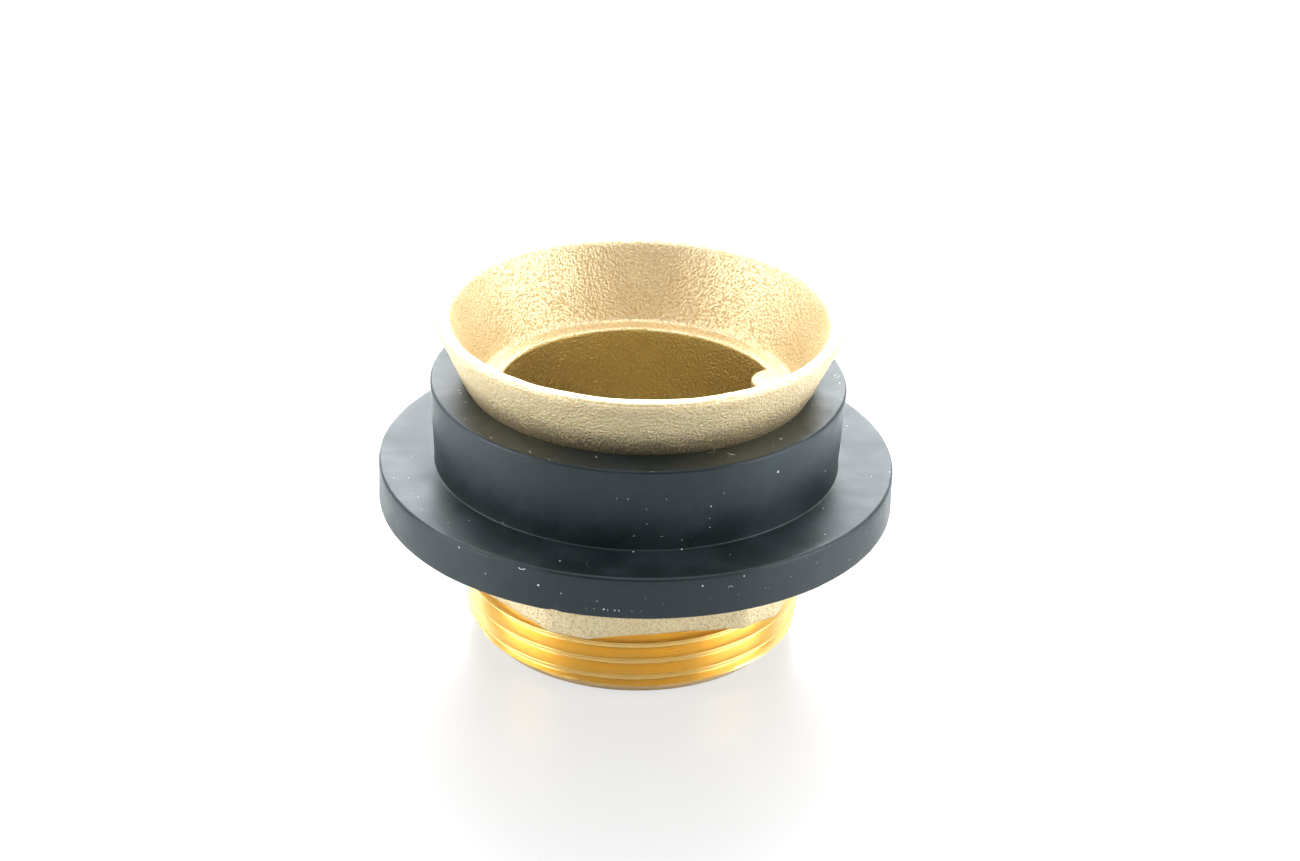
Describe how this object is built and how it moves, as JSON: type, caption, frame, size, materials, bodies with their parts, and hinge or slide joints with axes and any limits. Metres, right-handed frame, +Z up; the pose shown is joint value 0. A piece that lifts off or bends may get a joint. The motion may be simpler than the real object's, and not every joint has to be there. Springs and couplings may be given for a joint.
{
  "type": "toilet spud",
  "caption": "Flared brass spud with a stepped rubber washer and a hexagonal locknut that draws the flare into the rubber to seal a flush inlet.",
  "frame": {"origin": "centre of the tail's end face, on the surface that the spud stands on", "axes": "+Z up along the waterway, from the threaded tail to the flared rim"},
  "size_m": [0.0636, 0.0636, 0.0416],
  "materials": {
    "spud_brass": "sand-cast, with a machined thread",
    "washer_rubber": "moulded, semi-matt",
    "ring_brass": "stamped, smooth",
    "nut_brass": "sand-cast"
  },
  "bodies": {
    "spud": {"spud_body": "spud_brass", "rubber_washer": "washer_rubber"},
    "ring": {"friction_ring": "ring_brass"},
    "nut": {"locknut": "nut_brass"}
  },
  "joints": [
    {"name": "ring_slide", "type": "slide", "parent": "spud", "child": "ring", "axis": [0, 0, -1], "range_m": [0, 0.00884]},
    {"name": "nut_turn", "type": "hinge", "parent": "ring", "child": "nut", "pos_m": [0, 0, 0.0127], "axis": [0, 0, -1], "range_deg": [0, 1440]}
  ],
  "couplings": [
    {"joint": "ring_slide", "follows": "nut_turn", "m_per_rad": 0.00035157}
  ]
}
